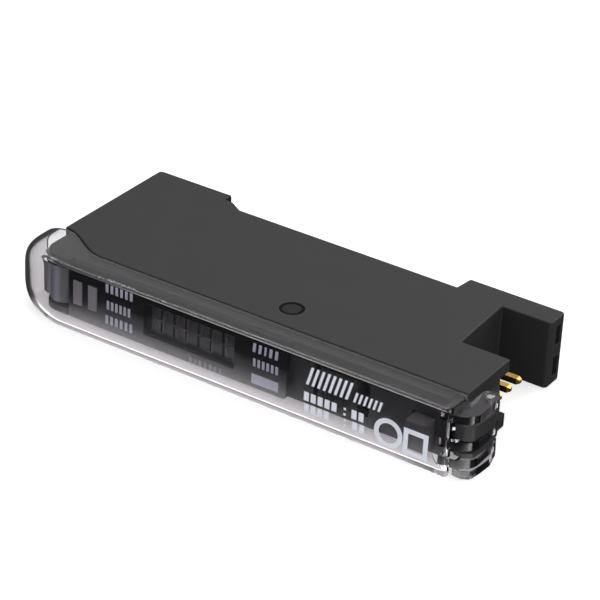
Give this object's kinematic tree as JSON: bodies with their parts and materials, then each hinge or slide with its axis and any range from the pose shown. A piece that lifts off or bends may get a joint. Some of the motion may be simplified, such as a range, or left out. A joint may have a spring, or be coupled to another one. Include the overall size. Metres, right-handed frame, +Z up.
{
  "type": "fibre optic sensor amplifier",
  "caption": "Slim fibre optic sensor amplifier for a mounting rail, with a hinged smoke dust cover, display, jog key, fibre lock lever and quick-connect power pins",
  "frame": {"origin": "centre of the bounding box in plan, on the surface that the amplifier lies on", "axes": "+X from the fibre end to the connector end, +Y from the dust cover to the rail side, +Z up, across the width"},
  "size_m": [0.073, 0.0304, 0.01],
  "materials": {
    "black_abs": "fine satin moulding",
    "smoke": "clear smoke polycarbonate, glossy",
    "steel": "turned steel pin",
    "gloss_black": "gloss black",
    "display_face": "satin",
    "milky": "milky light guide",
    "grey_key": "satin grey",
    "grey_lever": "satin blue-grey",
    "chip_black": "matt black",
    "clear_lens": "clear epoxy",
    "board_green": "solder mask",
    "tin": "tinned metal",
    "insulator": "satin black",
    "gold": "gold plated"
  },
  "bodies": {
    "housing": {"housing": "black_abs", "side_lid": "black_abs", "hinge_pin": "steel", "panel": "gloss_black", "display_module": "display_face", "output_indicator": "milky", "stability_indicator": "milky", "jog_switch": "chip_black", "mode_switch": "chip_black", "lever_pin": "steel", "fibre_guide": "chip_black", "light_receiver": "chip_black", "light_emitter": "clear_lens", "front_board": "board_green", "main_board": "board_green", "receiver_shield": "tin", "receiver_chip": "chip_black", "controller_chip": "chip_black", "clock_crystal": "tin", "capacitor": "tin", "supply_coil": "chip_black", "output_transistor": "chip_black", "board_link": "chip_black", "upper_link_chip": "chip_black", "lower_link_chip": "chip_black", "upper_window": "gloss_black", "lower_window": "gloss_black", "pin_header": "insulator", "power_pin": "gold", "output_pin": "gold", "ground_pin": "gold"},
    "dust_cover": {"cover": "smoke"},
    "lever": {"lock_lever": "grey_lever"},
    "clamp": {"fibre_clamp": "grey_key"},
    "jog_stem": {"jog_stem": "grey_key"},
    "jog_knob": {"jog_knob": "black_abs"},
    "mode_key": {"mode_key": "grey_key"}
  },
  "joints": [
    {"name": "cover_hinge", "type": "hinge", "parent": "housing", "child": "dust_cover", "pos_m": [0.035, -0.00785, 0.005], "axis": [0, 0, 1], "range_deg": [0, 110]},
    {"name": "lever_turn", "type": "hinge", "parent": "housing", "child": "lever", "pos_m": [-0.0294, -0.01055, 0.005], "axis": [0, 0, 1], "range_deg": [0, 70]},
    {"name": "clamp_slide", "type": "slide", "parent": "housing", "child": "clamp", "axis": [0, -1, 0], "range_m": [0, 0.000244]},
    {"name": "jog_press", "type": "slide", "parent": "housing", "child": "jog_stem", "axis": [0, 1, 0], "range_m": [0, 0.0003], "stiffness_N_per_m": 1500},
    {"name": "jog_rock", "type": "hinge", "parent": "jog_stem", "child": "jog_knob", "pos_m": [0.01611, -0.00975, 0.005], "axis": [0, 0, 1], "range_deg": [-10, 10], "stiffness_Nm_per_rad": 0.01},
    {"name": "mode_press", "type": "slide", "parent": "housing", "child": "mode_key", "axis": [0, 1, 0], "range_m": [0, 0.00025], "stiffness_N_per_m": 1500}
  ],
  "couplings": [
    {"joint": "lever_turn", "follows": "clamp_slide", "rad_per_m": 5000}
  ]
}
